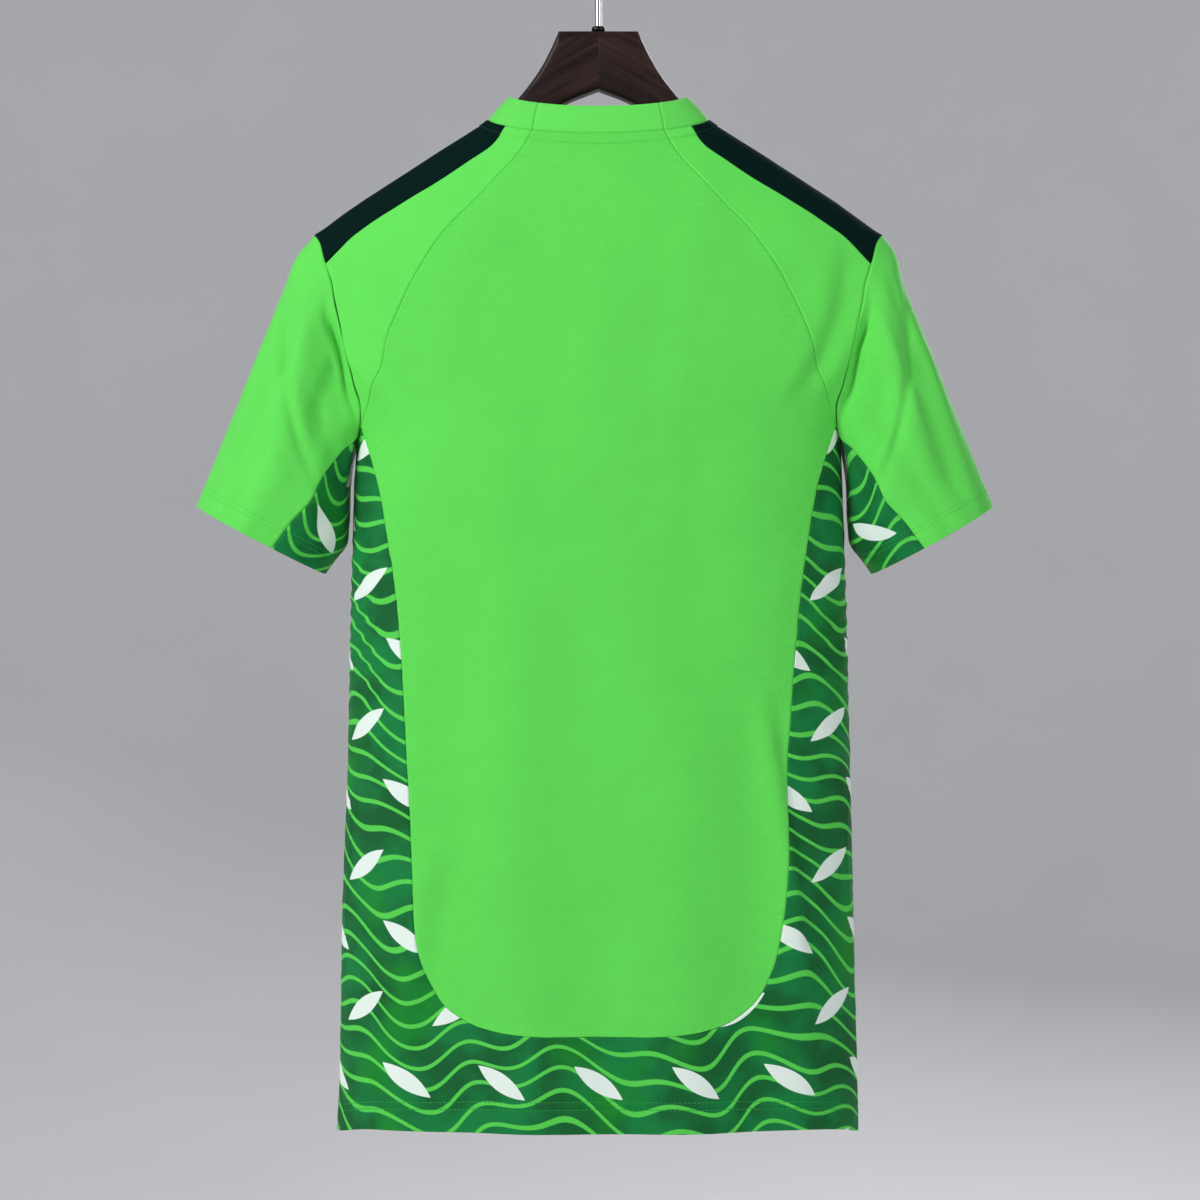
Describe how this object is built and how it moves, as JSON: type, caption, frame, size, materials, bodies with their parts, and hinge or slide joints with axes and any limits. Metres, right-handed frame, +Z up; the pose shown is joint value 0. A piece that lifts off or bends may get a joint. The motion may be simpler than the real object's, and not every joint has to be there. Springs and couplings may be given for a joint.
{
  "type": "football jersey on a hanger",
  "caption": "Short-sleeved raglan football jersey with printed side panels, hanging hollow and open on a wooden hanger with a wire hook, seen from its back.",
  "frame": {"origin": "the point where the inside of the hook's arch rests on a rail", "axes": "+Z up along the hanging garment, +Y towards the garment's front, +X to the wearer's right"},
  "size_m": [0.5753, 0.1378, 0.874],
  "materials": {
    "green_mesh": "bright green polyester micro-mesh knit, faint sheen",
    "green_knit": "bright green smooth polyester interlock knit, faint sheen",
    "collar_knit": "bright green folded flat knit band",
    "printed_knit": "polyester knit printed in mottled greens with light green lines and white slivers",
    "stripe_knit": "very dark bottle green smooth knit",
    "dark_wood": "espresso stained hardwood, satin lacquer",
    "hook_chrome": "polished steel wire"
  },
  "bodies": {
    "root": {"back_panel": "green_mesh", "back_surround": "printed_knit", "front_panel": "printed_knit", "back_yoke_left": "green_knit", "front_yoke_left": "green_knit", "shoulder_stripe_left": "stripe_knit", "sleeve_left": "green_knit", "sleeve_gusset_left": "printed_knit", "back_yoke_right": "green_knit", "front_yoke_right": "green_knit", "shoulder_stripe_right": "stripe_knit", "sleeve_right": "green_knit", "sleeve_gusset_right": "printed_knit", "collar_back": "collar_knit", "collar_front": "collar_knit", "hanger_wood": "dark_wood", "hanger_hook": "hook_chrome"}
  },
  "joints": []
}
